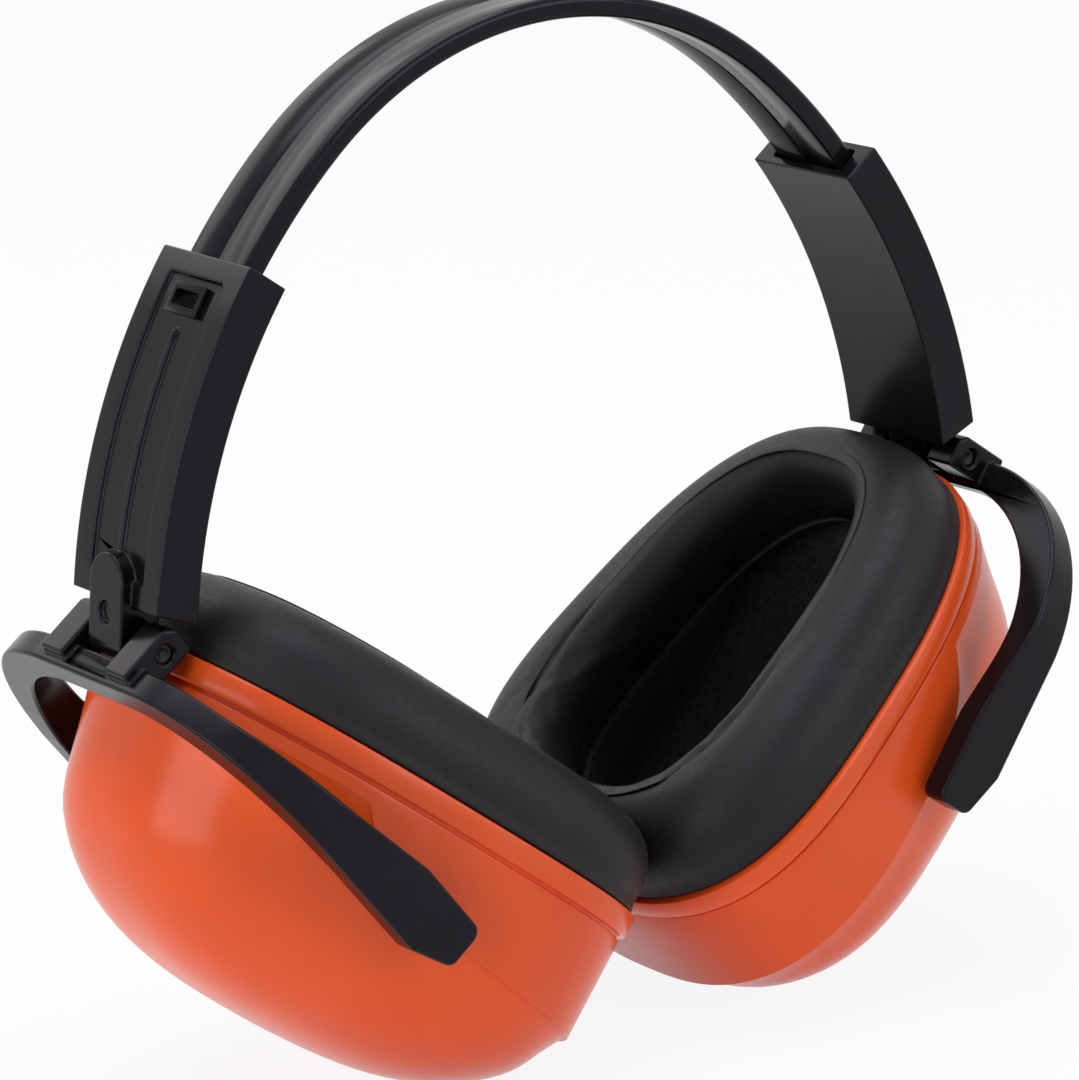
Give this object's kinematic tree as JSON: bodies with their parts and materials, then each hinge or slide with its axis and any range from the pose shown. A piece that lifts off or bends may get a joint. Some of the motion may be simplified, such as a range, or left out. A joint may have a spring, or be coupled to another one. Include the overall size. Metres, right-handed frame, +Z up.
{
  "type": "earmuff hearing protector",
  "caption": "Folding headband earmuff with sliding arm sleeves, hinged forked yokes and deep oval cups that tilt and carry soft foam ear cushions.",
  "frame": {"origin": "centre of the footprint, on the table that the two cups stand on", "axes": "+Z up through the top of the headband, +X towards the right cup, -Y towards the front"},
  "size_m": [0.1803, 0.086, 0.1741],
  "materials": {
    "band_plastic": "glossy black moulded plastic",
    "arm_plastic": "glossy black moulded plastic",
    "yoke_plastic": "satin black moulded plastic",
    "pin_steel": "plain steel pin",
    "cup_plastic": "glossy orange moulded plastic",
    "plate_plastic": "matt black plastic",
    "liner_foam": "open cell foam",
    "cushion_foam": "soft foam",
    "cushion_vinyl": "soft satin vinyl skin"
  },
  "bodies": {
    "headband": {"headband": "band_plastic"},
    "left_arm": {"left_sleeve": "arm_plastic", "left_latch": "arm_plastic"},
    "left_fork": {"left_yoke": "yoke_plastic", "left_hinge_pin": "pin_steel"},
    "left_cup": {"left_cup_shell": "cup_plastic", "left_foam_liner": "liner_foam", "left_seal_plate": "plate_plastic", "left_cushion_foam": "cushion_foam", "left_cushion_cover": "cushion_vinyl"},
    "right_arm": {"right_sleeve": "arm_plastic", "right_latch": "arm_plastic"},
    "right_fork": {"right_yoke": "yoke_plastic", "right_hinge_pin": "pin_steel"},
    "right_cup": {"right_cup_shell": "cup_plastic", "right_foam_liner": "liner_foam", "right_seal_plate": "plate_plastic", "right_cushion_foam": "cushion_foam", "right_cushion_cover": "cushion_vinyl"}
  },
  "joints": [
    {"name": "left_height_slide", "type": "hinge", "parent": "headband", "child": "left_arm", "pos_m": [0.02637, 0, 0.0755], "axis": [0, 1, 0], "range_deg": [0, 10]},
    {"name": "left_fold_hinge", "type": "hinge", "parent": "left_arm", "child": "left_fork", "pos_m": [-0.082, 0, 0.08363], "axis": [0, 1, 0], "range_deg": [0, 50]},
    {"name": "left_cup_tilt", "type": "hinge", "parent": "left_fork", "child": "left_cup", "pos_m": [-0.05555, 0, 0.04099], "axis": [0, 1, 0], "range_deg": [0, 15]},
    {"name": "right_height_slide", "type": "hinge", "parent": "headband", "child": "right_arm", "pos_m": [-0.02637, 0, 0.0755], "axis": [0, -1, 0], "range_deg": [0, 10]},
    {"name": "right_fold_hinge", "type": "hinge", "parent": "right_arm", "child": "right_fork", "pos_m": [0.082, 0, 0.08363], "axis": [0, -1, 0], "range_deg": [0, 50]},
    {"name": "right_cup_tilt", "type": "hinge", "parent": "right_fork", "child": "right_cup", "pos_m": [0.05604, 0, 0.04069], "axis": [0, -1, 0], "range_deg": [0, 15]}
  ]
}
